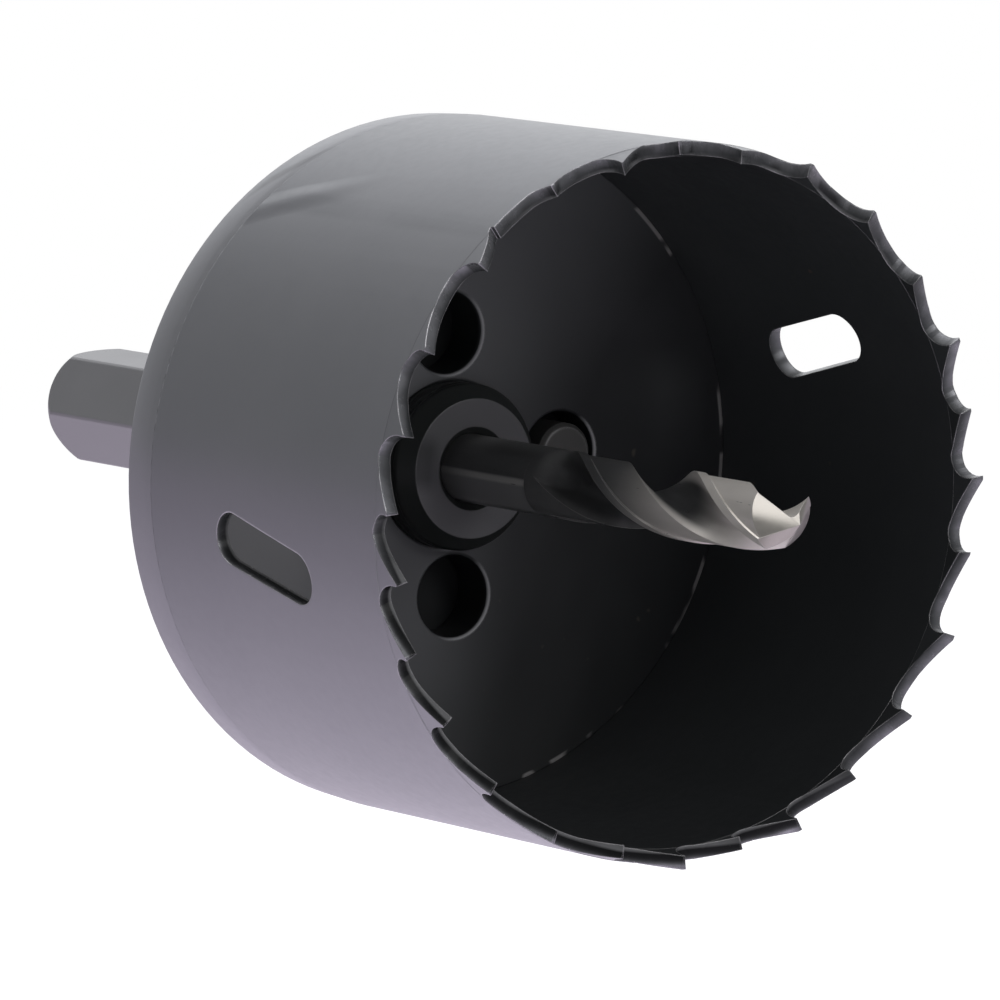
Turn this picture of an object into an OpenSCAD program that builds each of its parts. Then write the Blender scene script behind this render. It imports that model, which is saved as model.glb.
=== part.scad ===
// Hole saw on a hex-shank arbor: a toothed band welded to a base plate, a drive plate with two
// pins, a lock nut, a set screw and a twist pilot drill.
// The tool axis lies along Y: the shank's end is at y = 0 and the teeth face -Y.

/* [Cup] */
// outside diameter of the cup
cup_d = 65; // [50:0.5:90]
// rear face of the cup to the tooth tips
cup_len = 43.2; // [32:0.2:60]
// thickness of the toothed band
band_t = 1.3; // [0.8:0.1:2.4]
// thickness of the base plate at its inner face
base_t = 5; // [3:0.1:9]
// width of the base plate's rim that shows outside, behind the band
rim_w = 4.4; // [2:0.1:8]
// how much the rim narrows to the rear, on the radius
rim_taper = 0.2; // [0:0.05:1]

/* [Teeth] */
// number of teeth round the band
tooth_count = 27; // [15:1:44]
// depth of the gullets
gullet_depth = 2.6; // [1.2:0.1:4]
// radius at the bottom of a gullet
gullet_r = 1.95; // [0.6:0.05:2.2]
// forward lean of the cutting faces, degrees
tooth_rake = 7; // [0:1:20]
// slope of a tooth's back next to its tip, degrees
back_angle = 38; // [25:1:55]
// flat left on a tip
tip_land = 0.2; // [0.1:0.05:0.6]
// how far a set tooth leans out or in at its tip
tooth_set = 0.36; // [0:0.02:0.8]
// teeth in one run of the uneven pitch
pitch_run = 7; // [4:1:9]
// where in a run the first tooth stands, in teeth
pitch_start = 0.25; // [0:0.05:7]
// how much the pitch swells and shrinks in a run, as a part of the pitch
pitch_swing = 0.134; // [0:0.002:0.25]
// gap across the butt weld of the band, in mean pitches
seam_gap = 1.6; // [1:0.05:2]
// angle of the first tooth tip, just past the butt weld
first_tip = 133.4; // [0:0.1:360]
// how much wider the first pitch after the weld is, degrees
first_more = 1.6; // [0:0.1:3]
// how much lower the last tooth before the weld stands
weld_drop = 1.6; // [0:0.1:2]
// how much deeper the gap at the weld is than a gullet
weld_deep = 0.35; // [0:0.05:0.6]
// height of the step left by the weld
weld_step = 0.45; // [0:0.05:0.8]

/* [Slots] */
// width of the slots in the band
slot_w = 4.9; // [3:0.1:8]
// overall length of a slot
slot_len = 15.2; // [9:0.1:24]
// heights of the slots' middles over the rear face
slot_z = [22.1, 22.6]; // [16:0.1:32]
// lean of the slots from the tool axis, degrees
slot_lean = 14; // [0:1:30]
// angles of the slots round the cup
slot_angles = [18.9, 186.7]; // [0:0.1:360]

/* [Base plate] */
// wall between the thread and a pin hole
pin_wall = 0.63; // [0.3:0.01:4]
// radius of the pin holes
pin_hole_r = 3.9; // [3.2:0.05:4.6]
// edge break of the pin holes
hole_break = 0.2; // [0.1:0.05:0.5]
// angle of the first drive pin
drive_angle = 0; // [0:1:89]

/* [Arbor] */
// radius of the threaded nose
nose_r = 7.8; // [7:0.05:9]
// how far the nose stands out of the base plate
nose_out = 3.9; // [2:0.1:7]
// length of the cone at the nose's end
nose_cone = 1.7; // [0.6:0.1:2]
// radius of the nose's end face
nose_face_r = 6.5; // [5.5:0.1:7]
// how much wider than the bore its flared mouth is, on the radius
mouth_flare = 0.675; // [0.1:0.025:1.5]
// radius of the round body behind the thread
body_r = 10.5; // [9.8:0.1:13]
// length of the round body
body_len = 13; // [10:0.5:20]
// hexagon across flats
hex_af = 10.2; // [9:0.1:13]
// how much is turned off the hexagon's corners
hex_break = 0.09; // [0.02:0.01:0.8]
// length of the hexagonal shank
hex_len = 29.4; // [22:0.1:45]
// how much larger than the corners the ball shape of the shank's end is, on the radius
end_round = 0.3; // [0.1:0.05:3]
// how much smaller than the flats the shank's end face is, on the radius
face_in = 0.2; // [0.1:0.05:1]
// turn of the hexagon round the axis, degrees
hex_angle = -26.8; // [-30:0.1:30]

/* [Drive plate and nut] */
// radius of the drive plate
plate_r = 18.5; // [17:0.1:24]
// thickness of the drive plate
plate_t = 8; // [5:0.1:12]
// radius of the drive pins
pin_r = 2.85; // [2:0.05:3.1]
// how far the pins stand out of the base plate's inner face
pin_out = 1; // [0:0.1:3]
// thickness of the lock nut
nut_t = 6; // [4:0.1:9]
// lock nut across flats
nut_af = 23.8; // [19:0.1:30]

/* [Pilot drill] */
// radius of the pilot drill
drill_r = 3.175; // [2.5:0.025:4]
// rear face of the cup to the drill's point
drill_tip = 59.7; // [48:0.1:80]
// length of the drill inside the arbor, behind the cup's rear face
drill_in = 26; // [20:0.5:34]
// where the ground flat on the drill's shank ends
flat_end = 21.5; // [12:0.5:30]
// depth of that flat
flat_deep = 0.37; // [0.2:0.01:0.8]
// direction that the flat and the set screw face, degrees
flat_angle = 203; // [0:1:360]
// length in which the flutes make one whole turn
flute_lead = 37; // [25:0.5:60]
// angle of the cutting lips at the point, degrees
lip_angle = 42; // [0:1:180]
// angle between the lips and a plane across the axis, degrees
point_slope = 30.5; // [15:0.5:35]
// half of the web between the flutes, as a part of the radius
web = 0.13; // [0.1:0.01:0.3]
// angle at which the point falls away behind the lips, degrees
relief = 31; // [8:1:33]
// radius of the set screw
screw_r = 2.95; // [2:0.05:4]

/* [Hidden] */
$fn = 96;
slack = 0.03;                 // gap between parts that slide into each other

cup_r = cup_d / 2;
band_in = cup_r - band_t;
nose_z = base_t + nose_out;
nut_z = -plate_t - nut_t;     // rear face of the nut
thread_z = nut_z - 1.2;       // the thread runs out here
body_z = thread_z - body_len;
end_z = body_z - hex_len;
screw_z = thread_z - body_len / 2;
bore_r = drill_r + 0.05;
bore_mouth_r = bore_r + mouth_flare;
pin_circle_r = nose_r + pin_wall + pin_hole_r;
hex_turn_r = hex_af / 2 / cos(30) - hex_break;
hex_face_r = hex_af / 2 - face_in;
hex_ball_r = hex_turn_r + end_round;
ball_z = end_z + sqrt(hex_ball_r * hex_ball_r - hex_face_r * hex_face_r);

// Builds along +Z from the cup's rear face, then lays the tool axis along -Y.
module placed() rotate([90, 0, 0]) translate([0, 0, -end_z]) children();

// toothed band

// Pitch after tooth k: it swells and shrinks in runs, and the last gap spans the butt weld.
run_sum = [for (k = [0 : tooth_count - 2]) cos(360 * (k + pitch_start) / pitch_run)];
function total(v, i = 0) = i == len(v) ? 0 : v[i] + total(v, i + 1);
pitch_mean = 360 / (tooth_count - 1 + seam_gap + pitch_swing * total(run_sum));
function tooth_step(k) = pitch_mean
    * (1 + pitch_swing * cos(360 * (k + pitch_start) / pitch_run));
function tip_angle(k) = k == 0 ? first_tip
    : tip_angle(k - 1) + tooth_step(k - 1) + (k == 1 ? first_more : 0);
function gap_angle(k) = k == tooth_count - 1
    ? first_tip + 360 - tip_angle(k) : tip_angle(k + 1) - tip_angle(k);

// Set of tooth k: the first of a run stands straight, the others lean out and in by turns.
function set_of(k) = k % pitch_run == 0 ? 0.08
    : (k % pitch_run) % 2 == 1 ? tooth_set : -tooth_set;

band_mid = cup_r - band_t / 2;
function arc_len(a) = band_mid * a * PI / 180;
set_z = cup_len - gullet_depth + 0.3;    // the teeth lean from this height up
gullet_x = (gullet_r - (gullet_depth - gullet_r) * sin(tooth_rake)) / cos(tooth_rake);

low_angle = gullet_x / band_mid * 180 / PI;    // from a cutting face to its gullet's lowest point
step = 0.02;                                   // the blanks are this much thinner on each side

// How much lower tip k stands: only the last tooth before the butt weld is ground down.
function drop_of(k) = k == tooth_count - 1 ? weld_drop : 0;

// Outlines of the gap between two tips, with the cutting face at x = 0 and the next tip at x = p.
// face_outline is the cutting face and its gullet of depth d, down to the lowest point.
function face_outline(d) = concat(
    [[2 * tan(tooth_rake), cup_len + 2]],
    [for (i = [0 : 7]) let (a = 180 - tooth_rake + (90 + tooth_rake) * i / 7)
        [gullet_x + gullet_r * cos(a), cup_len - d + gullet_r + gullet_r * sin(a)]]);
function back_power(p, rise) = max(1.2, tan(back_angle) * (p - tip_land - gullet_x) / rise);
function gap_outline(p, rise) = concat(
    face_outline(gullet_depth),
    [for (i = [1 : 12]) let (w = i / 12)
        [gullet_x + (p - tip_land - gullet_x) * w,
         cup_len - gullet_depth + rise * pow(w, back_power(p, rise))]],
    [[p - tip_land + 2 / tan(back_angle), cup_len + 2]]);

// The gap at the weld: a gullet, a nearly flat stretch, the weld's step and a steep, rounded back.
weld_depth = gullet_depth + weld_deep;
function weld_outline(p) =
    let (rest_x = gullet_x + 0.52 * (p - gullet_x), long = p - tip_land - rest_x - 0.1)
    concat(
    face_outline(weld_depth),
    [[rest_x, cup_len - weld_depth + weld_step], [rest_x + 0.1, cup_len - weld_depth]],
    [for (w = [0.16, 0.22, 0.32, 0.45, 0.6, 0.78, 1])
        [rest_x + 0.1 + long * w,
         cup_len - weld_depth + weld_depth * pow((w - 0.12) / 0.88, 0.65)]],
    [[p - tip_land + 2 / tan(back_angle), cup_len + 2]]);

module tooth_gap(k)
    let (p = arc_len(gap_angle(k)))
    rotate([0, 0, tip_angle(k) + gap_angle(k) / 2])
    translate([band_in - 1.5, 0, 0])
    rotate([90, 0, 90]) linear_extrude(band_t + 3)
    translate([-p / 2, 0])
    polygon(k == tooth_count - 1 ? weld_outline(p) : gap_outline(p, gullet_depth - drop_of(k + 1)));

// The tooth that ends at tip k: a leaning piece of band that stands in the straight band's top.
module tooth(k) {
    before = k == 0 ? tooth_count - 1 : k - 1;
    a0 = tip_angle(k) - gap_angle(before) + low_angle;
    a1 = tip_angle(k) + low_angle;
    top = cup_len - drop_of(k);
    s = set_of(k) * (top - set_z) / (cup_len - set_z);
    difference() {
        rotate([0, 0, a0]) rotate_extrude(angle = a1 - a0) polygon([
            [band_in + step, set_z - 0.2], [cup_r - step, set_z - 0.2], [cup_r - step, set_z],
            [cup_r - step + s, top], [band_in + step + s, top],
            [band_in + step, set_z]]);
        tooth_gap(before);
        tooth_gap(k);
    }
}

module slot(a, z)
    rotate([0, 0, a]) translate([band_in - 2, 0, z])
    rotate([90, 0, 90]) linear_extrude(band_t + 4) rotate(-slot_lean) {
        square([slot_w, slot_len - slot_w], center = true);
        for (s = [-1, 1]) translate([0, s * (slot_len - slot_w) / 2]) circle(d = slot_w);
    }

module saw_band() color("#6d6b73") placed() {
    difference() {
        rotate_extrude() translate([band_in, rim_w]) square([band_t, set_z - rim_w]);
        for (k = [0 : tooth_count - 1]) tooth_gap(k);
        for (i = [0, 1]) slot(slot_angles[i], slot_z[i]);
    }
    for (k = [0 : tooth_count - 1]) tooth(k);
}

// base plate

module pin_hole(a) rotate([0, 0, a]) translate([pin_circle_r, 0, 0]) {
    translate([0, 0, -1]) cylinder(r = pin_hole_r, h = base_t + 2);
    translate([0, 0, base_t - hole_break])
        cylinder(r1 = pin_hole_r, r2 = pin_hole_r + 2 * hole_break, h = 2 * hole_break);
    translate([0, 0, -hole_break])
        cylinder(r1 = pin_hole_r + 2 * hole_break, r2 = pin_hole_r, h = 2 * hole_break);
}

module base_plate() color("#77757d") placed() difference() {
    rotate_extrude() polygon([
        [nose_r + slack + 0.3, 0], [cup_r - rim_taper - 0.35, 0], [cup_r - rim_taper, 0.35],
        [cup_r, rim_w], [band_in - slack, rim_w], [band_in - slack, base_t],
        [nose_r + slack + 0.2, base_t], [nose_r + slack, base_t - 0.2], [nose_r + slack, 0.3]]);
    for (q = [0 : 3]) pin_hole(drive_angle + 90 * q);
}

// arbor

module arbor_body() color("#7c7a83") placed() difference() {
    union() {
        rotate_extrude() polygon([
            [0, body_z], [body_r - 0.6, body_z], [body_r, body_z + 0.6],
            [body_r, thread_z - 0.6], [body_r - 0.6, thread_z], [nose_r, thread_z],
            [nose_r, nose_z - nose_cone], [nose_face_r, nose_z], [0, nose_z]]);
        intersection() {
            rotate([0, 0, hex_angle + 30]) translate([0, 0, end_z])
                cylinder(r = hex_af / 2 / cos(30), h = hex_len + 1, $fn = 6);
            translate([0, 0, end_z - 1]) cylinder(r = hex_turn_r, h = hex_len + 3);
            union() {
                translate([0, 0, ball_z]) sphere(r = hex_ball_r);
                translate([0, 0, ball_z]) cylinder(r = hex_ball_r + 1, h = body_z - ball_z + 2);
            }
        }
    }
    // blind bore for the pilot drill, with a flared mouth
    translate([0, 0, -drill_in - slack]) cylinder(r = bore_r, h = nose_z + drill_in + 1);
    translate([0, 0, nose_z - (bore_mouth_r - bore_r)])
        cylinder(r1 = bore_r, r2 = bore_mouth_r + 0.5, h = bore_mouth_r - bore_r + 0.5);
    // threaded hole of the set screw
    translate([0, 0, screw_z]) rotate([0, 90, flat_angle])
        cylinder(r = screw_r + slack, h = body_r + 2);
}

module drive_plate() color("#4f5054") placed() difference() {
    rotate_extrude() polygon([
        [0, -plate_t], [plate_r - 0.8, -plate_t], [plate_r, -plate_t + 0.8],
        [plate_r, -0.5], [plate_r - 0.5, 0], [0, 0]]);
    translate([0, 0, -plate_t - 1]) cylinder(r = nose_r + slack, h = plate_t + 2);
    for (q = [0, 180]) rotate([0, 0, drive_angle + q]) translate([pin_circle_r, 0, -plate_t - 1])
        cylinder(r = pin_r + slack, h = plate_t + 2);
}

module drive_pin(a) placed() rotate([0, 0, a]) translate([pin_circle_r, 0, 0])
    rotate_extrude() polygon([
        [0, -plate_t + 0.5], [pin_r, -plate_t + 0.5], [pin_r, base_t + pin_out - 0.4],
        [pin_r - 0.4, base_t + pin_out], [0, base_t + pin_out]]);

module drive_pin_1() color("#8c8c8c") drive_pin(drive_angle);
module drive_pin_2() color("#8c8c8c") drive_pin(drive_angle + 180);

module lock_nut() color("#5a5b60") placed() difference() {
    intersection() {
        rotate([0, 0, hex_angle]) translate([0, 0, nut_z])
            cylinder(r = nut_af / 2 / cos(30), h = nut_t, $fn = 6);
        rotate_extrude() polygon([
            [0, nut_z], [nut_af / 2 - 0.3, nut_z], [nut_af / 2 / cos(30) + 0.1, nut_z + 1.1],
            [nut_af / 2 / cos(30) + 0.1, -plate_t - 1.1], [nut_af / 2 - 0.3, -plate_t],
            [0, -plate_t]]);
    }
    translate([0, 0, nut_z - 1]) cylinder(r = nose_r + slack, h = nut_t + 2);
}

flat_x = drill_r - flat_deep;
module set_screw() color("#3c3d40") placed() translate([0, 0, screw_z]) rotate([0, 90, flat_angle])
difference() {
    rotate_extrude() polygon([
        [0, flat_x], [screw_r - 0.8, flat_x], [screw_r, flat_x + 0.8],
        [screw_r, body_r - 1.7], [screw_r - 0.4, body_r - 1.3], [0, body_r - 1.3]]);
    translate([0, 0, body_r - 4.3]) cylinder(r = 1.5 / cos(30), h = 4, $fn = 6);
}

// pilot drill

// One half of the drill's section as [radius part, angle past the lip, angle behind a lip].
flute_c = [0.32, web + 0.48];
flute_r = 0.48;
tip_a = asin(web);
touch_a = atan2(web, flute_c[0]);
far_a = atan2(flute_c[1], flute_c[0]) + asin(flute_r / norm(flute_c));
function into_flute(a) = let (b = flute_c * [cos(a), sin(a)])
    b - sqrt(max(0, b * b - (flute_c * flute_c - flute_r * flute_r)));
margin_a = 15;
half = concat(
    [for (i = [0 : 4]) let (a = tip_a + (touch_a - tip_a) * i / 4) [web / sin(a), a, 0]],
    [for (i = [1 : 12]) let (a = touch_a + (far_a - touch_a) * i / 12)
        [into_flute(a), a, (180 + tip_a - a) * i / 12]],
    [for (i = [0 : 6]) let (a = far_a + 1 + (180 + tip_a - margin_a - far_a - 2) * i / 6)
        [0.94, a, 180 + tip_a - a]],
    [for (i = [0 : 3]) let (a = 180 + tip_a - margin_a + (margin_a - 0.5) * i / 3)
        [1, a, 180 + tip_a - a]]);
section = concat(half, [for (p = half) [p[0], p[1] + 180, p[2]]]);
sides = len(section);
rings = 60;
shank_z = flat_end + 1;       // the round shank ends here and the flutes run out
root_z = shank_z - 0.4;       // the fluted part stands in the shank from here
flute_fade = 4.5;             // length in which they reach full depth
function ease(t) = t <= 0 ? 0 : t >= 1 ? 1 : t * t * (3 - 2 * t);
function turn_at(z) = lip_angle - tip_a + (z - (drill_tip - drill_r * tan(point_slope))) * 360 / flute_lead;
// height of the ground point over a place in the section, with the relief behind the lips
function point_z(p) = drill_tip
    - drill_r * p[0] * (tan(point_slope) + tan(relief) * p[2] * PI / 180);
function ring_point(p, j) =
    let (z = root_z + (point_z(p) - root_z) * j / rings,
         r = (drill_r - 0.02) * (1 - (1 - p[0]) * ease((z - shank_z) / flute_fade)),
         a = p[1] + turn_at(z))
    [r * cos(a), r * sin(a), z];

module fluted_part() polyhedron(
    points = concat([for (j = [0 : rings]) each [for (p = section) ring_point(p, j)]],
                    [[0, 0, root_z], [0, 0, drill_tip]]),
    faces = concat(
        [for (j = [0 : rings - 1]) each [for (i = [0 : sides - 1]) let (n = (i + 1) % sides)
            [j * sides + i, (j + 1) * sides + i, j * sides + n]]],
        [for (j = [0 : rings - 1]) each [for (i = [0 : sides - 1]) let (n = (i + 1) % sides)
            [(j + 1) * sides + i, (j + 1) * sides + n, j * sides + n]]],
        [for (i = [0 : sides - 1]) let (n = (i + 1) % sides)
            [i, n, (rings + 1) * sides]],
        [for (i = [0 : sides - 1]) let (n = (i + 1) % sides)
            [rings * sides + n, rings * sides + i, (rings + 1) * sides + 1]]));

module pilot_drill() color("#a09c96") placed() {
    difference() {
        translate([0, 0, -drill_in]) cylinder(r = drill_r, h = shank_z + drill_in);
        rotate([0, 0, flat_angle]) translate([flat_x, -drill_r, -drill_in - 1])
            cube([drill_r, 2 * drill_r, flat_end + drill_in + 1]);
    }
    fluted_part();
}

saw_band();
base_plate();
arbor_body();
drive_plate();
drive_pin_1();
drive_pin_2();
lock_nut();
set_screw();
pilot_drill();
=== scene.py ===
"""Looks of a hole saw on its hex-shank arbor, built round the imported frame.

Metres, in the row frame: the tool axis is Y, the shank's end is the origin, teeth and drill face -Y, Z is up.
Inside the materials and the drill, lengths are mm and z is the height from the cup's rear face towards the
teeth. Angles are degrees across the tool axis, from +X towards +Z.
"""
import math

import bpy
from mathutils import Euler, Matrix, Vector


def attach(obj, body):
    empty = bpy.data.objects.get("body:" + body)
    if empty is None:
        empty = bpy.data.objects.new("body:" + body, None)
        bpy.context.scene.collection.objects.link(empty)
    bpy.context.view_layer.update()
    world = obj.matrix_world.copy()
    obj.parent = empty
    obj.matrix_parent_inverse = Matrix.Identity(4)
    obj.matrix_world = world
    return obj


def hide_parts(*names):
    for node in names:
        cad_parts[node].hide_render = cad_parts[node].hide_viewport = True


MM = 0.001

# camera: a long lens, placed where the photograph was taken from
CAMERA_AT = (-0.4964, -0.7962, 0.1178)
CAMERA_TURN = (82.2064, 1.1837, -34.5399)      # degrees, XYZ
LENS_MM = 347.3
SENSOR_MM = 36.0

# stage: a white paper sweep that runs under the object and away behind it, in a darker room
FLOOR_AT = (0, -0.06, -0.085)
FLOOR_SIZE = 12.0
FLOOR_COLOR = (0.86, 0.85, 0.88)
SWEEP_WAY = (0.5294, 0.8484, 0.0)  # level direction in which the paper runs away from the camera
SWEEP_LIGHT = 1.08
SWEEP_FROM = 0.55                  # the sweep starts where a direction's share of SWEEP_WAY is this much
ROOM_LIGHT = 0.26
ROOM_COLOR = (0.97, 0.985, 1.0)
PAPER_COLOR = (0.97, 0.885, 1.04)  # the lit paper as steel shows it
PAPER_LIGHT = (0.40, 1.08)         # its strength far to the side and on its middle line
PAPER_FADE = 6.5                   # how fast it fades to the side, per metre
SHADOW_GLOW = 0.5                  # the camera sees this much glow on top of the shaded floor
SHADOW_ZONE = (0.30, 0.75)         # between these distances from its middle the floor turns plain white
WHITE = (1, 1, 1)

# cup, in mm
SHANK_END_Z = 57.6                 # from the shank's end to the cup's rear face
CUP_R = 32.5
BAND_T = 1.3
RIM_W = 4.4
PLATE_T = 5.0
NOSE_Z = 8.9
NOSE_FROM = -14.5                  # the black nose starts here, behind the lock nut
TOOTH_ROOT = 40.9
THREAD_PITCH = 1.5

# directions across the tool
LEFT, DOWN = 180.0, 270.0
UPPER_RIGHT, UPPER_LEFT, LOWER_LEFT = 45.0, 135.0, 225.0
WELD_ANGLE = 126.0
SLOT_ANGLE = 186.7
# middle of the painted light on the plate's face
LEFT_LIGHT_ANGLE = 190.0
SHADED_TEETH_ANGLE = 240.0                  # middle of the lower left teeth, whose cut faces are painted dark as shade
TOP_ANGLE = 80.0                   # middle of the teeth that are black in patches
# middle of the painted shade at the nose's bore mouth
BORE_SHADE_ANGLE = 172.0

# pilot drill, in mm; parts of its section are shares of its radius
DRILL_R = 3.175
DRILL_TIP = 59.7
DRILL_IN = 26.0
FLAT_END = 21.5
FLAT_DEEP = 0.37
FLAT_ANGLE = 203.0
FLAT_EDGE = 0.14                   # width of the worn strip along the flat's edges
SHANK_RINGS = (-DRILL_IN, -10.0, 0.0, NOSE_Z, 14.0, 18.0, FLAT_END)
ROUND_STEPS = 90
FLAT_STEPS = 8
FLUTE_LEAD = 37.0
FLUTE_START = 22.5
FLUTE_FADE = 4.5
LIP_ANGLE = 42.0
POINT_SLOPE = 30.5
RELIEF = 31.0
WEB = 0.13
FLUTE_C = (0.32, WEB + 0.48)
FLUTE_R = 0.48
MARGIN_A = 15.0
LAND = 0.94
WEB_STEPS, FLUTE_STEPS, LAND_STEPS, MARGIN_STEPS = 8, 24, 12, 6
DRILL_RINGS = 330
SHARP_ANGLE = 30.0


def rgb(r, g, b):
    return (r, g, b, 1.0)


# colours; a pair is the darkest and the lightest of a cloudy finish
LACQUER = (rgb(0.300, 0.303, 0.325), rgb(0.345, 0.345, 0.368))
RIM_LACQUER = (rgb(0.36, 0.36, 0.385), rgb(0.40, 0.40, 0.425))
INSIDE = (rgb(0.0150, 0.0161, 0.0175), rgb(0.0240, 0.0251, 0.0264))
# the inside's painted light
INSIDE_PAINTED_LIT = (rgb(0.0435, 0.0473, 0.0508), rgb(0.0696, 0.0731, 0.0767))
FACE = (rgb(0.0120, 0.0130, 0.0144), rgb(0.0190, 0.0202, 0.0224))
# the plate face's painted light
FACE_PAINTED_LIT = (rgb(0.1030, 0.1060, 0.1130), rgb(0.1450, 0.1480, 0.1570))
SHANK = (rgb(0.32, 0.317, 0.333), rgb(0.39, 0.386, 0.402))
NOSE_SIDE = (rgb(0.018, 0.0200, 0.0200), rgb(0.030, 0.0325, 0.0325))
NOSE_END = (rgb(0.056, 0.0560, 0.061), rgb(0.084, 0.083, 0.090))
# the drill's painted light and shade: lit towards the point, shaded back along it and in the flutes
DRILL_PAINTED_LIT = (rgb(0.76, 0.715, 0.675), rgb(0.91, 0.865, 0.82))
DRILL_PAINTED_SHADE = (rgb(0.110, 0.110, 0.113), rgb(0.185, 0.185, 0.187))
DRILL_FLUTE_PAINTED_SHADE = (rgb(0.055, 0.0555, 0.058), rgb(0.095, 0.096, 0.098))
DRILL_POINT = (rgb(0.40, 0.375, 0.345), rgb(0.55, 0.52, 0.48))
DARK_STEEL = (rgb(0.011, 0.012, 0.013), rgb(0.020, 0.021, 0.022))
PIN_STEEL = (rgb(0.055, 0.054, 0.054), rgb(0.105, 0.103, 0.100))
SCREW_STEEL = (rgb(0.012, 0.012, 0.013), rgb(0.022, 0.022, 0.023))

# light worn edges; on the band's corners this is also painted highlight
WORN = rgb(0.62, 0.61, 0.63)
# painted highlight on the rim's rear corner, and wear on its front part
RIM_WEAR_AND_HIGHLIGHT = rgb(0.9, 0.89, 0.9)
# the drill's worn edges and painted highlights
DRILL_WEAR_AND_HIGHLIGHT = rgb(0.72, 0.70, 0.67)
WELD_STREAK = rgb(0.20, 0.205, 0.22)
CUT_FACE = rgb(0.0080, 0.0085, 0.0090)
# a painted highlight along the dark teeth's inner corner
CORNER_HIGHLIGHT = rgb(0.16, 0.16, 0.165)
LEDGE = rgb(0.22, 0.217, 0.230)
LEDGE_DARK_TEETH = rgb(0.50, 0.49, 0.53)
SLOT_LIP = rgb(0.85, 0.84, 0.87)
BAND_SPECK = rgb(0.12, 0.09, 0.07)
PLATE_SPECK = rgb(0.14, 0.12, 0.1)
# painted light on the plate's face on the slot's side
LEFT_FACE_PAINTED_LIGHT = rgb(0.230, 0.230, 0.242)
DULL_PATCH = rgb(0.085, 0.085, 0.090)
# painted highlight dashes along the weld
WELD_HIGHLIGHT = rgb(0.34, 0.33, 0.33)
# painted shade inside the holes
BORE_SHADE = rgb(0.0200, 0.0215, 0.0230)
HOLE_EDGE = rgb(0.42, 0.42, 0.44)
# the painted shade of a groove on the rim
RIM_GROOVE_SHADE = rgb(0.15, 0.15, 0.16)
# the nose end's lighter colour towards the lower left, and its painted shade at the bore's mouth
NOSE_END_LIGHTER = rgb(0.115, 0.114, 0.122)
NOSE_BORE_SHADE = rgb(0.018, 0.019, 0.021)
FLAT_GROUND = rgb(0.38, 0.375, 0.385)


# node trees

class Tree:
    """Short calls for building a node tree."""

    def __init__(self, tree):
        self.tree = tree

    def add(self, kind, **settings):
        node = self.tree.nodes.new(kind)
        for name, value in settings.items():
            setattr(node, name, value)
        return node

    def link(self, a, b):
        self.tree.links.new(a, b)

    def fill(self, socket, value):
        """Links an output to the socket, or sets the socket's own value."""
        if isinstance(value, bpy.types.NodeSocket):
            self.link(value, socket)
        else:
            socket.default_value = value

    def math(self, op, a, b=0.0, clamp=False):
        n = self.add("ShaderNodeMath", operation=op, use_clamp=clamp)
        self.fill(n.inputs[0], a)
        self.fill(n.inputs[1], b)
        return n.outputs[0]

    def most(self, a, b):
        return self.math("MAXIMUM", a, b)

    def times(self, *values):
        result = values[0]
        for v in values[1:]:
            result = self.math("MULTIPLY", result, v)
        return result

    def invert(self, value):
        return self.math("SUBTRACT", 1.0, value, clamp=True)

    def vmath(self, op, a, b=(0, 0, 0)):
        n = self.add("ShaderNodeVectorMath", operation=op)
        self.fill(n.inputs[0], a)
        self.fill(n.inputs[1], b)
        return n.outputs["Value"] if op in ("DOT_PRODUCT", "LENGTH") else n.outputs["Vector"]

    def dot(self, a, b):
        return self.vmath("DOT_PRODUCT", a, b)

    def span(self, value, a, b, lo=0.0, hi=1.0, smooth=False):
        """lo where value is a, hi where it is b, and held beyond both."""
        n = self.add("ShaderNodeMapRange", interpolation_type="SMOOTHSTEP" if smooth else "LINEAR")
        self.fill(n.inputs["Value"], value)
        for i, v in enumerate((a, b, lo, hi), start=1):
            n.inputs[i].default_value = v
        return n.outputs["Result"]

    def band(self, value, a, b, edge):
        """1 where value lies between a and b, fading over edge."""
        return self.times(self.span(value, a - edge, a), self.span(value, b, b + edge, 1.0, 0.0))

    def shine(self, kind, color, strength=1.0):
        """An emission or a background."""
        n = self.add(kind)
        n.inputs["Color"].default_value = rgb(*color)
        self.fill(n.inputs["Strength"], strength)
        return n.outputs[0]

    def mix_shaders(self, factor, a, b):
        n = self.add("ShaderNodeMixShader")
        self.link(factor, n.inputs[0])
        self.link(a, n.inputs[1])
        self.link(b, n.inputs[2])
        return n.outputs[0]


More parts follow.
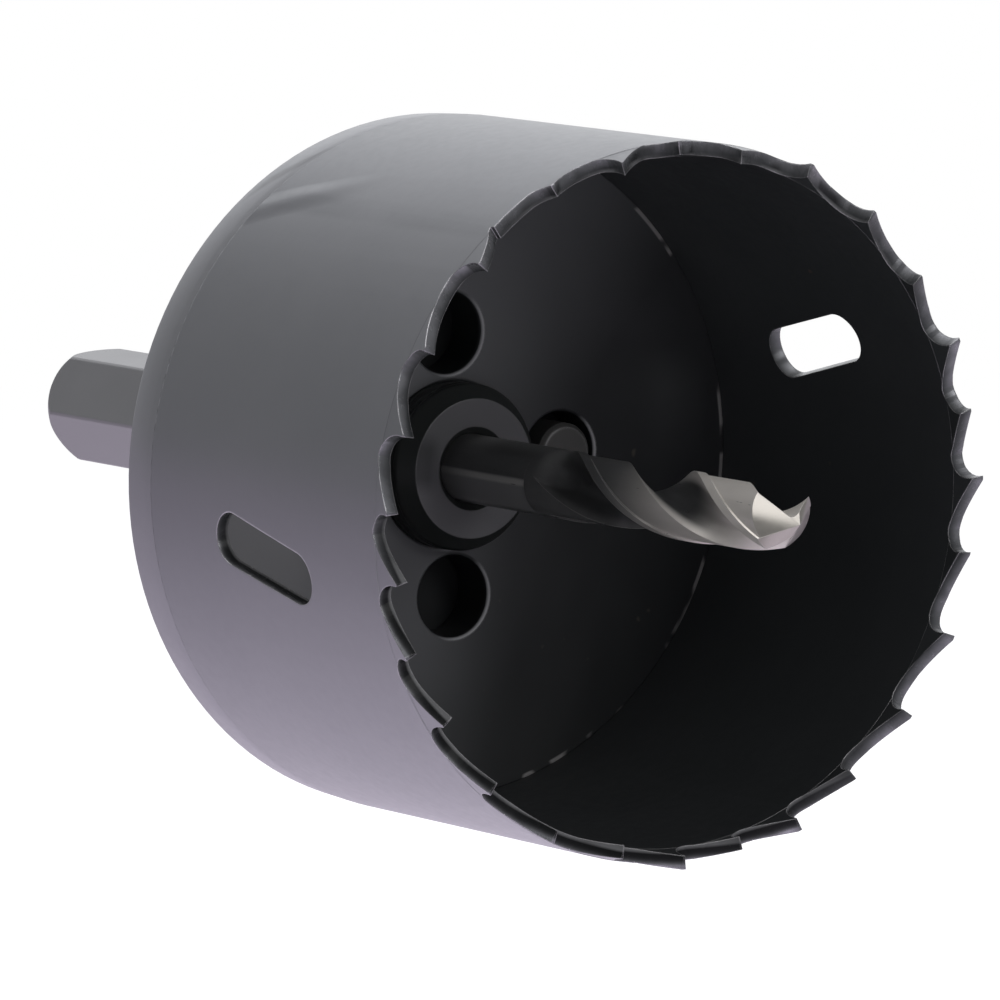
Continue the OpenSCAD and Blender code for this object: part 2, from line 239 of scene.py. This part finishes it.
class Paint(Tree):
    """One material, with its shader and the nodes that read the place on the tool."""

    def __init__(self, name):
        self.mat = bpy.data.materials.new(name)
        self.mat.use_nodes = True
        super().__init__(self.mat.node_tree)
        self.tree.nodes.clear()
        self.out = self.add("ShaderNodeOutputMaterial")
        self.shader = self.add("ShaderNodeBsdfPrincipled")
        self.link(self.shader.outputs["BSDF"], self.out.inputs["Surface"])
        coord = self.add("ShaderNodeTexCoord")
        self.place = coord.outputs["Object"]
        self.normal = coord.outputs["Normal"]

    def set(self, **values):
        for name, value in values.items():
            self.fill(self.shader.inputs[name.replace("_", " ")], value)

    def stretch(self, scale):
        """Object coordinates times a scale for each axis."""
        return self.vmath("MULTIPLY", self.place, scale)

    def noise(self, vector, scale, detail=2.0, rough=0.5, distortion=0.0):
        n = self.add("ShaderNodeTexNoise")
        self.fill(n.inputs["Vector"], vector)
        n.inputs["Scale"].default_value = scale
        n.inputs["Detail"].default_value = detail
        n.inputs["Roughness"].default_value = rough
        n.inputs["Distortion"].default_value = distortion
        return n.outputs["Fac"]

    def mix(self, factor, a, b):
        n = self.add("ShaderNodeMix", data_type="RGBA")
        self.fill(n.inputs["Factor"], factor)
        self.fill(n.inputs["A"], a)
        self.fill(n.inputs["B"], b)
        return n.outputs["Result"]

    def radius(self):
        """Distance from the tool axis in mm."""
        return self.vmath("LENGTH", self.stretch((1000, 0, 1000)))

    def radial(self):
        """Unit vector away from the tool axis."""
        return self.vmath("NORMALIZE", self.stretch((1, 0, 1)))

    def tool_z(self):
        """Distance in mm from the cup's rear face towards the teeth."""
        y = self.dot(self.place, (0, 1, 0))
        return self.math("SUBTRACT", self.math("MULTIPLY", y, -1000.0), SHANK_END_Z)

    def toward(self, angle):
        """Distance in mm from the tool axis in one direction across it."""
        a = math.radians(angle)
        return self.dot(self.place, (1000 * math.cos(a), 0, 1000 * math.sin(a)))

    def ahead(self):
        """How far the surface faces the way of the teeth."""
        return self.dot(self.normal, (0, -1, 0))

    def bump(self, height, distance, strength=1.0, normal=None):
        n = self.add("ShaderNodeBump")
        n.inputs["Strength"].default_value = strength
        n.inputs["Distance"].default_value = distance
        self.fill(n.inputs["Height"], height)
        if normal is not None:
            self.link(normal, n.inputs["Normal"])
        return n.outputs["Normal"]

    def soft_edges(self, radius):
        """The normal, rounded over the edges; the radius is in mm."""
        n = self.add("ShaderNodeBevel", samples=6)
        n.inputs["Radius"].default_value = radius * MM
        return n.outputs["Normal"]

    def outward(self):
        """The direction away from the tool axis, as a normal."""
        n = self.add("ShaderNodeVectorTransform", vector_type="NORMAL",
                     convert_from="OBJECT", convert_to="WORLD")
        self.link(self.radial(), n.inputs[0])
        return n.outputs[0]

    def blend(self, factor, a, b):
        """Unit vector between two directions."""
        n = self.add("ShaderNodeMix", data_type="VECTOR")
        self.fill(n.inputs[0], factor)
        self.fill(n.inputs[4], a)
        self.fill(n.inputs[5], b)
        return self.vmath("NORMALIZE", n.outputs[1])

    def worn_edges(self, radius, least=0.95, most=0.80):
        """1 on the edges, where the rounded normal leaves the face's own; the radius is in mm."""
        soft = self.soft_edges(radius)
        true = self.add("ShaderNodeNewGeometry").outputs["Normal"]
        return self.span(self.dot(soft, true), least, most)

    def turned(self):
        """Fine rings of turning round the tool axis, and a cloudy variation."""
        along = self.dot(self.place, (0, 7.0, 0))
        rings = self.noise(self.math("ADD", self.times(self.radius(), 0.009), along), 900.0, 2.0)
        cloud = self.noise(self.place, 160.0, 3.0)
        return rings, self.times(self.math("ADD", rings, cloud), 0.5)


# materials

def band_material():
    """Satin grey lacquer outside; glossy black inside and on the cut faces, with painted light inside and
    painted shade on the lower left cut faces; corners painted bright, partly wear and partly painted
    highlight.
    """
    m = Paint("band_steel")
    z = m.tool_z()
    r = m.radius()
    facing = m.dot(m.normal, m.radial())
    cloud = m.noise(m.place, 55.0, 3.0)
    fine = m.noise(m.place, 1000.0, 4.0, 0.6)

    # the teeth stand a hair inside the band's outer face: that narrow ledge is painted as light as the wall's
    # reflection beside it, so that it looks like the face
    ledge = m.times(m.band(z, TOOTH_ROOT - 0.012, TOOTH_ROOT + 0.012, 0.006),
                    m.span(r, CUP_R - 0.12, CUP_R - 0.06))
    inner = m.span(facing, -0.55, -0.8)
    outer = m.most(m.span(facing, 0.55, 0.8), ledge)
    sides = m.invert(m.math("ADD", inner, outer))

    # the cut faces run from the lacquer's grey at their outer corner to black further in; they are painted
    # darker as shade on the lower left teeth, and darker in patches on the top teeth
    across = m.span(r, CUP_R - BAND_T, CUP_R)
    dark_teeth = m.most(m.span(m.toward(SHADED_TEETH_ANGLE), 6.0, 22.0, smooth=True),
                    m.times(m.span(m.toward(TOP_ANGLE), 19.0, 29.0, smooth=True),
                            m.span(m.noise(m.place, 300.0, 1.0), 0.42, 0.58, 0.35, 0.9)))
    cover = m.math("ADD", m.times(m.invert(dark_teeth), m.math("POWER", across, 1.2), 0.85),
                   m.times(dark_teeth, m.math("POWER", across, 7.0)))
    patches = m.span(m.noise(m.place, 480.0, 2.0), 0.38, 0.62, 0.55, 1.0)
    clean = m.math("ADD", outer, m.times(sides, cover, patches), clamp=True)

    # corners painted light, partly wear and partly painted highlight, most on the dark teeth; not where a
    # tooth stands in the band or at the band's rear end
    root = m.times(m.band(z, TOOTH_ROOT - 0.15, TOOTH_ROOT + 0.15, 0.1), m.invert(sides))
    wear_and_highlight = m.most(m.span(m.noise(m.place, 340.0, 2.0), 0.32, 0.55), m.times(dark_teeth, sides, 0.9))
    edge = m.times(m.worn_edges(0.20), wear_and_highlight, m.invert(root), m.span(z, RIM_W + 0.2, RIM_W + 0.8))

    # the butt weld: a slightly darker, ground streak that runs back from its notch
    at_weld = m.span(m.toward(WELD_ANGLE), 0.0, 1.0)
    beside_weld = m.toward(WELD_ANGLE - 90)
    weld = m.times(m.band(beside_weld, -0.9, 0.9, 0.8), at_weld,
                   m.span(m.noise(m.stretch((1, 0.25, 1)), 260.0, 2.0), 0.25, 0.65))
    lacquer = m.mix(m.times(weld, outer, 0.35), m.mix(cloud, *LACQUER), WELD_STREAK)

    # painted light: the inside is painted a little lighter towards the plate and on the upper right
    inside_painted_light = m.math("ADD", m.span(z, 6.0, 38.0, 0.75, 0.05),
                   m.span(m.toward(UPPER_RIGHT), 0.0, 30.0, 0.0, 0.35))
    specks = m.span(m.noise(m.place, 420.0, 1.0), 0.80, 0.84)
    dark = m.mix(inside_painted_light, m.mix(cloud, *INSIDE), m.mix(cloud, *INSIDE_PAINTED_LIT))
    # painted shade: the cut faces of the lower left teeth are painted black
    dark = m.mix(m.times(dark_teeth, sides), dark, CUT_FACE)
    dark = m.mix(m.times(specks, 0.5), dark, BAND_SPECK)
    color = m.mix(clean, dark, lacquer)

    # painted highlight: a light line is painted along the inner corner of the dark teeth
    corner_highlight = m.times(dark_teeth, sides, m.span(across, 0.30, 0.12),
                   m.span(m.noise(m.place, 300.0, 2.0), 0.3, 0.5, 0.5, 1.0))
    color = m.mix(m.times(corner_highlight, 0.8), color, CORNER_HIGHLIGHT)
    color = m.mix(ledge, color, m.mix(dark_teeth, LEDGE, LEDGE_DARK_TEETH))

    # the slot's upper and front lips catch the light from the paper
    turn = m.vmath("SUBTRACT", m.soft_edges(0.25), m.outward())
    tilt = m.dot(turn, (0.0, 0.6, -0.8))
    lip = m.times(m.span(tilt, 0.08, 0.30), outer, m.band(z, 9.0, 32.0, 1.0),
                  m.span(m.toward(SLOT_ANGLE), 29.0, 31.0))
    color = m.mix(m.times(lip, 0.7), color, SLOT_LIP)

    m.set(Base_Color=m.mix(m.times(edge, 0.7), color, WORN))
    m.set(Metallic=m.math("ADD", m.times(clean, m.invert(ledge), 0.9), m.times(edge, 0.5), clamp=True))
    m.set(Roughness=m.math("ADD", m.span(fine, 0.3, 0.7, 0.31, 0.37),
                           m.math("SUBTRACT", m.times(inner, 0.10), m.times(sides, 0.08))))
    m.set(Specular_IOR_Level=0.10)

    # fine grain on rounded edges; the outer wall runs on smooth into the leaning teeth
    round_wall = m.times(outer, m.span(z, TOOTH_ROOT - 0.4, TOOTH_ROOT - 0.2),
                         m.invert(edge), m.invert(ledge), 0.9)
    grain = m.bump(fine, 0.02 * MM, 0.3, m.blend(round_wall, m.soft_edges(0.20), m.outward()))
    # slow waves of the rolled sheet, and the ridge and hollow that the weld leaves at the rear
    waves = m.noise(m.stretch((1.0, 0.35, 1.0)), 38.0, 1.0)
    slow = m.bump(waves, 1.0 * MM, 0.22, grain)
    side = m.math("ADD", m.math("SUBTRACT", beside_weld, m.times(z, 0.425)),
                  m.span(m.noise(m.place, 90.0, 1.0), 0.0, 1.0, -0.8, 0.8))
    ridge = m.times(m.span(side, -6.0, -3.6, smooth=True), m.span(side, -3.5, -1.4, 1.0, 0.0, smooth=True),
                    m.span(z, 19.0, 6.0, smooth=True), at_weld)
    m.set(Normal=m.bump(ridge, 0.26 * MM, 0.8, slow))
    return m.mat


def plate_material():
    """The base plate: lacquered rim and rear, black face inside with painted light on it and painted
    highlight dashes along the weld round it.
    """
    m = Paint("plate_steel")
    z = m.tool_z()
    r = m.radius()
    inside = m.span(z, PLATE_T - 0.4, PLATE_T - 0.2)
    rim = m.times(m.invert(inside), m.span(r, 20.0, 21.0))
    cloud = m.noise(m.place, 90.0, 3.0)
    fine = m.noise(m.place, 1100.0, 4.0, 0.6)

    # painted light: the face is painted greyest towards the upper left and lighter still on the slot's side,
    # with dull patches
    face_painted_light = m.most(m.span(m.toward(UPPER_LEFT), -11.0, 14.0, smooth=True),
                   m.times(m.span(m.toward(LEFT), -8.0, 8.0, smooth=True),
                           m.span(m.toward(DOWN), 19.0, 32.0, 1.0, 0.4)))
    face_painted_light = m.most(face_painted_light, m.span(m.toward(UPPER_RIGHT), 6.0, 22.0, 0.0, 0.10))
    face = m.mix(face_painted_light, m.mix(cloud, *FACE), m.mix(cloud, *FACE_PAINTED_LIT))
    left_painted_light = m.span(m.toward(LEFT_LIGHT_ANGLE), 9.0, 20.0, smooth=True)
    face = m.mix(m.times(left_painted_light, 0.85), face, LEFT_FACE_PAINTED_LIGHT)
    patch = m.band(m.noise(m.stretch((1.0, 0.0, 0.6)), 55.0, 2.0, 0.5, 0.6), 0.56, 0.75, 0.14)
    face = m.mix(m.times(patch, 0.10), face, DULL_PATCH)
    specks = m.span(m.noise(m.place, 520.0, 1.0), 0.79, 0.83)
    face = m.mix(m.times(specks, 0.4), face, PLATE_SPECK)

    # painted highlight: the weld to the band shows as a broken light line of painted glints
    seam = CUP_R - BAND_T
    weld_highlight_dashes = m.times(m.span(r, seam - 0.48, seam - 0.34), inside,
                     m.span(m.noise(m.place, 260.0, 1.0), 0.53, 0.58))
    face = m.mix(m.times(weld_highlight_dashes, 0.8), face, WELD_HIGHLIGHT)

    # painted shade: the holes are painted black inside, and their edges catch the light on the side that
    # faces the paper
    bore_shade = m.times(m.invert(m.span(z, PLATE_T - 0.7, PLATE_T - 0.4)), m.invert(rim))
    face = m.mix(bore_shade, face, BORE_SHADE)
    facing = m.dot(m.soft_edges(0.30), (-0.85, 0.0, 0.53))
    hole = m.times(m.span(facing, 0.04, 0.35), m.invert(m.span(r, 24.0, 26.0)),
                   m.span(z, PLATE_T - 0.25, PLATE_T - 0.05))
    face = m.mix(hole, face, HOLE_EDGE)
    color = m.mix(rim, face, m.mix(cloud, *RIM_LACQUER))

    # painted shade: a dark groove is painted slanting over the rim beside the weld
    slant = m.math("SUBTRACT", m.toward(WELD_ANGLE - 97), m.times(m.math("SUBTRACT", z, 2.5), 2.0))
    groove_shade = m.times(rim, m.band(slant, -0.8, 0.8, 1.4), m.band(z, 1.6, 3.6, 0.9),
                     m.span(m.toward(WELD_ANGLE), 0.0, 1.0))
    color = m.mix(m.times(groove_shade, 0.45), color, RIM_GROOVE_SHADE)

    # a painted highlight along the rim's outer corner at the rear, and faint worn lines over its front part
    rear_highlight = m.times(rim, m.span(z, 0.40, 0.25), m.span(r, CUP_R - 0.6, CUP_R - 0.4),
                   m.span(m.noise(m.place, 200.0, 1.0), 0.3, 0.5), 0.6)
    worn = m.times(m.worn_edges(0.22), rim, m.span(z, 3.6, 3.2), 0.25)
    m.set(Base_Color=m.mix(m.most(worn, m.times(rear_highlight, 0.9)), color, RIM_WEAR_AND_HIGHLIGHT))
    m.set(Metallic=m.times(rim, m.span(rear_highlight, 0.0, 1.0, 0.9, 0.2)))
    m.set(Roughness=m.math("ADD", m.span(fine, 0.3, 0.7, 0.30, 0.37), m.times(inside, 0.08)))
    m.set(Specular_IOR_Level=0.40)

    # the rim is slightly rounded across its width
    crown = m.math("POWER", m.math("ABSOLUTE", m.span(z, 0.0, RIM_W, -1.0, 1.0)), 2.0)
    at_band = m.times(rim, m.span(z, 3.2, 3.6))
    grain = m.bump(fine, 0.02 * MM, 0.35, m.blend(at_band, m.soft_edges(0.18), m.outward()))
    m.set(Normal=m.bump(m.times(m.invert(crown), rim), 0.10 * MM, 1.0, grain))
    return m.mat


def arbor_material():
    """Satin shank and body; the threaded nose inside the cup is black with a grey end face."""
    m = Paint("arbor_steel")
    z = m.tool_z()
    rings, both = m.turned()
    ahead = m.ahead()
    nose = m.span(z, NOSE_FROM, NOSE_FROM + 0.5)

    # the end face is lighter towards the lower left, and painted darker on the left as the shade at the
    # bore's mouth
    grey = m.mix(m.span(m.toward(LOWER_LEFT), 2.0, 7.0), m.mix(both, *NOSE_END), NOSE_END_LIGHTER)
    bore_mouth_shade = m.times(m.span(m.toward(BORE_SHADE_ANGLE), 3.8, 5.0),
                    m.band(m.toward(BORE_SHADE_ANGLE + 90), -1.6, 1.2, 1.6))
    grey = m.mix(m.times(bore_mouth_shade, 0.75), grey, NOSE_BORE_SHADE)
    end = m.times(nose, m.span(ahead, 0.9, 0.97), m.span(z, NOSE_Z - 0.5, NOSE_Z - 0.2))
    color = m.mix(nose, m.mix(both, *SHANK), m.mix(end, m.mix(both, *NOSE_SIDE), grey))
    edge = m.times(m.worn_edges(0.18), m.span(m.noise(m.place, 420.0, 2.0), 0.3, 0.6))
    m.set(Base_Color=m.mix(m.times(edge, 0.35), color, WORN))
    m.set(Metallic=m.math("ADD", m.times(m.invert(nose), 0.9), m.times(edge, nose, 0.3), clamp=True))
    m.set(Roughness=m.span(both, 0.3, 0.7, 0.36, 0.46))

    # the thread of the nose
    thread = m.math("SINE", m.times(z, 2 * math.pi / THREAD_PITCH))
    cut = m.times(thread, nose, m.band(z, -13.0, 7.0, 0.5), m.invert(m.span(ahead, 0.9, 0.95)))
    rounded = m.bump(rings, 0.015 * MM, 0.5, m.soft_edges(0.2))
    m.set(Normal=m.bump(cut, 0.22 * MM, 0.7, rounded))
    return m.mat


def steel_material(name, colors, rough, metallic=0.0, edge=0.15, worn=0.3, gloss=0.5):
    """Turned steel under a thin dark finish, with edges worn a little lighter; edge is in mm."""
    m = Paint(name)
    rings, both = m.turned()
    wear = m.times(m.worn_edges(edge, 0.985, 0.9), worn)
    m.set(Base_Color=m.mix(wear, m.mix(both, *colors), WORN))
    m.set(Metallic=metallic, Specular_IOR_Level=gloss)
    m.set(Roughness=m.span(both, 0.3, 0.7, rough - 0.05, rough + 0.06))
    m.set(Normal=m.bump(rings, 0.015 * MM, 0.5, m.soft_edges(edge)))
    return m.mat


def drill_material():
    """Ground high-speed steel: grinding lines along the flutes, painted shade towards the shank and in the
    flutes, painted light towards the point, worn edges that are partly painted highlight.
    """
    m = Paint("drill_steel")
    z = m.tool_z()
    grind = m.noise(m.stretch((3.0, 0.35, 3.0)), 700.0, 3.0, 0.6)
    cloud = m.noise(m.place, 260.0, 3.0)
    both = m.times(m.math("ADD", grind, cloud), 0.5)

    # painted light and shade: bright towards the point, darker back along the lands and darkest down in the
    # flutes
    painted_lit = m.mix(both, *DRILL_PAINTED_LIT)
    lands = m.mix(m.span(z, 33.0, 47.0, smooth=True), m.mix(both, *DRILL_PAINTED_SHADE), painted_lit)
    flutes = m.mix(m.span(z, 44.5, 52.0, smooth=True), m.mix(both, *DRILL_FLUTE_PAINTED_SHADE), painted_lit)
    color = m.mix(m.span(m.radius(), 1.9, 2.85, smooth=True), flutes, lands)

    # the two ground faces of the point
    point = m.times(m.span(m.ahead(), 0.35, 0.5), m.span(z, 50.0, 52.0))
    color = m.mix(point, color, m.mix(both, *DRILL_POINT))

    # the ground flat, one edge of which gets a painted highlight, and the edges of the flutes, painted light
    # as partly wear and partly painted highlight
    flat = m.times(m.span(m.toward(FLAT_ANGLE), 2.62, 2.72), m.span(z, FLAT_END + 0.05, FLAT_END))
    color = m.mix(m.times(flat, 0.6), color, FLAT_GROUND)
    flat_rim = m.times(m.band(m.toward(FLAT_ANGLE - 90), 1.20, 1.55, 0.30), flat,
                       m.span(z, 9.0, 14.0, 0.25, 1.0))
    worn = m.times(m.worn_edges(0.10, 0.98, 0.86), m.span(z, 12.0, 46.0, 0.25, 0.75))
    m.set(Base_Color=m.mix(m.most(worn, m.times(flat_rim, 0.6)), color, DRILL_WEAR_AND_HIGHLIGHT))
    m.set(Metallic=m.math("ADD", m.span(z, 16.0, 46.0, 0.35, 0.58), m.times(point, 0.35)))
    m.set(Roughness=m.span(both, 0.3, 0.7, 0.26, 0.38))
    m.set(Normal=m.bump(grind, 0.01 * MM, 0.5, m.soft_edges(0.06)))
    return m.mat


def dress(nodes):
    """Gives every CAD node its material, and returns the drill's."""
    dark = steel_material("dark_steel", DARK_STEEL, 0.45, worn=0.1, gloss=0.12)
    pin = steel_material("pin_steel", PIN_STEEL, 0.36, 0.2, 0.4)
    screw = steel_material("screw_steel", SCREW_STEEL, 0.38)
    drill = drill_material()
    looks = {
        "saw_band": band_material(), "base_plate": plate_material(), "arbor_body": arbor_material(),
        "drive_plate": dark, "lock_nut": dark, "drive_pin_1": pin, "drive_pin_2": pin,
        "set_screw": screw, "pilot_drill": drill,
    }
    for name, material in looks.items():
        slots = nodes[name].data.materials
        slots.clear()
        slots.append(material)
    return drill


# pilot drill, finer than the CAD solid that it stands for

def placed(x, y, z):
    """A point of the tool, in mm with z from the cup's rear face, in the row frame."""
    return (x * MM, -(z + SHANK_END_Z) * MM, y * MM)


def steps(a, b, count, first=0):
    """Even steps from a to b."""
    return [a + (b - a) * i / count for i in range(first, count + 1)]


def flute_section():
    """The drill's section as (radius part, angle past a lip, angle behind a lip), in radians."""
    tip = math.asin(WEB)
    touch = math.atan2(WEB, FLUTE_C[0])
    reach = math.hypot(*FLUTE_C)
    far = math.atan2(FLUTE_C[1], FLUTE_C[0]) + math.asin(FLUTE_R / reach)
    margin = math.radians(MARGIN_A)
    half_turn = math.pi + tip
    one, half_one = math.radians(1), math.radians(0.5)

    def into_flute(a):
        b = FLUTE_C[0] * math.cos(a) + FLUTE_C[1] * math.sin(a)
        return b - math.sqrt(max(0.0, b * b - reach * reach + FLUTE_R * FLUTE_R))

    half = [(WEB / math.sin(a), a, 0.0) for a in steps(tip, touch, WEB_STEPS)]
    for i, a in enumerate(steps(touch, far, FLUTE_STEPS, first=1), start=1):
        half.append((into_flute(a), a, (half_turn - a) * i / FLUTE_STEPS))
    for a in steps(far + one, half_turn - margin - one, LAND_STEPS):
        half.append((LAND, a, half_turn - a))
    for a in steps(half_turn - margin, half_turn - half_one, MARGIN_STEPS):
        half.append((1.0, a, half_turn - a))
    return half + [(p, a + math.pi, back) for p, a, back in half]


def ease(t):
    t = min(max(t, 0.0), 1.0)
    return t * t * (3 - 2 * t)


def tube(points, faces, rings, ends):
    """Adds rings of points joined by quads, closed by fans to the two end points."""
    base = len(points)
    n = len(rings[0])
    for ring in rings:
        points.extend(placed(*p) for p in ring)
    for j in range(len(rings) - 1):
        for i in range(n):
            k = (i + 1) % n
            a, b = base + j * n, base + (j + 1) * n
            faces.append((a + i, a + k, b + k, b + i))
    for ring, end in zip((0, len(rings) - 1), ends):
        points.append(placed(*end))
        tip = len(points) - 1
        for i in range(n):
            a, b = base + ring * n + i, base + ring * n + (i + 1) % n
            faces.append((tip, b, a) if ring == 0 else (tip, a, b))


def shank_ring(z):
    """Round shank with the ground flat and a worn strip along the flat's two edges."""
    flat = DRILL_R - FLAT_DEEP
    edge = math.acos(flat / DRILL_R)
    gap = edge + FLAT_EDGE / DRILL_R
    turn = math.radians(FLAT_ANGLE)
    ring = [(DRILL_R * math.cos(a), DRILL_R * math.sin(a), z)
            for a in steps(turn + gap, turn + 2 * math.pi - gap, ROUND_STEPS)]
    half = flat * math.tan(edge) - FLAT_EDGE
    for y in steps(-half, half, FLAT_STEPS):
        ring.append((flat * math.cos(turn) - y * math.sin(turn),
                     flat * math.sin(turn) + y * math.cos(turn), z))
    return ring


def flute_rings():
    """Rings of the fluted part, turning round the axis and running up to the relieved point."""
    slope, relief = math.tan(math.radians(POINT_SLOPE)), math.tan(math.radians(RELIEF))
    lip = math.radians(LIP_ANGLE) - math.asin(WEB)
    section = flute_section()
    rings = []
    for j in range(DRILL_RINGS + 1):
        ring = []
        for part, angle, back in section:
            top = DRILL_TIP - DRILL_R * part * (slope + relief * back)
            z = FLAT_END + (top - FLAT_END) * j / DRILL_RINGS
            r = DRILL_R * (1 - (1 - part) * ease((z - FLUTE_START) / FLUTE_FADE))
            a = angle + lip + (z - DRILL_TIP + DRILL_R * slope) * 2 * math.pi / FLUTE_LEAD
            ring.append((r * math.cos(a), r * math.sin(a), z))
        rings.append(ring)
    return rings


def drill_piece(material):
    """The drill as two closed tubes, the shank and the fluted part."""
    points, faces = [], []
    tube(points, faces, [shank_ring(z) for z in SHANK_RINGS], ((0, 0, -DRILL_IN), (0, 0, FLAT_END)))
    tube(points, faces, flute_rings(), ((0, 0, FLAT_END), (0, 0, DRILL_TIP)))
    mesh = bpy.data.meshes.new("pilot_drill_ground")
    mesh.from_pydata(points, [], faces)
    mesh.validate()
    mesh.shade_smooth()
    mesh.set_sharp_from_angle(angle=math.radians(SHARP_ANGLE))
    mesh.materials.append(material)
    piece = bpy.data.objects.new("pilot_drill_ground", mesh)
    bpy.context.scene.collection.objects.link(piece)
    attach(piece, "root")
    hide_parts("pilot_drill")


# stage, light and camera

def stage_floor():
    """White to the camera but for the object's shadow. Steel shows the paper fading to the room's sides."""
    bpy.ops.mesh.primitive_plane_add(size=FLOOR_SIZE, location=FLOOR_AT)
    floor = bpy.context.object
    floor.name = "floor"
    m = Paint("pale_floor")
    m.set(Base_Color=rgb(*FLOOR_COLOR), Roughness=0.8)
    plain = m.shader.outputs[0]

    # the lit paper, by how far a point lies to the side of its middle line
    across = m.math("ABSOLUTE", m.dot(m.place, (SWEEP_WAY[1], -SWEEP_WAY[0], 0.0)))
    paper = m.math("POWER", math.e, m.times(across, -PAPER_FADE))
    lit = m.shine("ShaderNodeEmission", PAPER_COLOR, m.span(paper, 0.0, 1.0, *PAPER_LIGHT))

    # under the object the camera sees plain lit paper, which takes the shadow; further out it is white
    shaded = m.add("ShaderNodeAddShader")
    m.link(m.shine("ShaderNodeEmission", WHITE, SHADOW_GLOW), shaded.inputs[0])
    m.link(plain, shaded.inputs[1])
    far_out = m.span(m.vmath("LENGTH", m.place), *SHADOW_ZONE, smooth=True)
    to_camera = m.mix_shaders(far_out, shaded.outputs[0], m.shine("ShaderNodeEmission", WHITE))

    # the camera, metal and glass see the background; all other rays see the plain floor
    path = m.add("ShaderNodeLightPath").outputs
    camera_ray = path["Is Camera Ray"]
    shown = m.most(m.most(camera_ray, path["Is Glossy Ray"]), path["Is Transmission Ray"])
    background = m.mix_shaders(camera_ray, lit, to_camera)
    m.link(m.mix_shaders(shown, plain, background), m.out.inputs["Surface"])
    floor.data.materials.append(m.mat)


def world_light():
    """A dim level room with the white sweep where the camera looks towards. The camera sees plain white."""
    world = bpy.data.worlds.new("studio")
    bpy.context.scene.world = world
    world.use_nodes = True
    world.node_tree.nodes.clear()
    w = Tree(world.node_tree)
    way = w.dot(w.add("ShaderNodeTexCoord").outputs["Generated"], SWEEP_WAY)
    level = w.span(way, SWEEP_FROM, 1.0, ROOM_LIGHT, SWEEP_LIGHT, smooth=True)
    room = w.shine("ShaderNodeBackground", ROOM_COLOR, level)
    white = w.shine("ShaderNodeBackground", WHITE)
    camera_ray = w.add("ShaderNodeLightPath").outputs["Is Camera Ray"]
    out = w.add("ShaderNodeOutputWorld")
    w.link(w.mix_shaders(camera_ray, room, white), out.inputs["Surface"])


def area_light(name, at, aim, size, power):
    data = bpy.data.lights.new(name, "AREA")
    data.shape = "RECTANGLE"
    data.size = data.size_y = size
    data.energy = power
    lamp = bpy.data.objects.new(name, data)
    bpy.context.scene.collection.objects.link(lamp)
    lamp.location = at
    lamp.rotation_euler = (Vector(aim) - Vector(at)).to_track_quat("-Z", "Y").to_euler()


def camera():
    data = bpy.data.cameras.new("camera")
    data.sensor_width = SENSOR_MM
    data.lens = LENS_MM
    data.clip_start, data.clip_end = 0.05, 30.0
    cam = bpy.data.objects.new("camera", data)
    bpy.context.scene.collection.objects.link(cam)
    cam.location = CAMERA_AT
    cam.rotation_euler = Euler([math.radians(a) for a in CAMERA_TURN], "XYZ")
    bpy.context.scene.camera = cam


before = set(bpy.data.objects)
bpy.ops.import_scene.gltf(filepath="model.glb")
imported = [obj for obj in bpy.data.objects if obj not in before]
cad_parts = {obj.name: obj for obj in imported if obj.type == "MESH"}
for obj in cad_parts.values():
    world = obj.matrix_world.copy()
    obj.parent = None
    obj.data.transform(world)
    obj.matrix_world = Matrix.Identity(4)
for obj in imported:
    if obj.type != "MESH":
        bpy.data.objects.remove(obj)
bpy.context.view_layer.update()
drill_piece(dress(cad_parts))
stage_floor()
world_light()
area_light("top_softbox", (-0.10, -0.10, 1.25), (0, -0.07, 0), 1.6, 13.0)
area_light("front_softbox", (0.35, -1.1, 0.45), (0, -0.09, 0), 0.5, 2.6)
camera()
bpy.context.scene.view_settings.view_transform = "Standard"
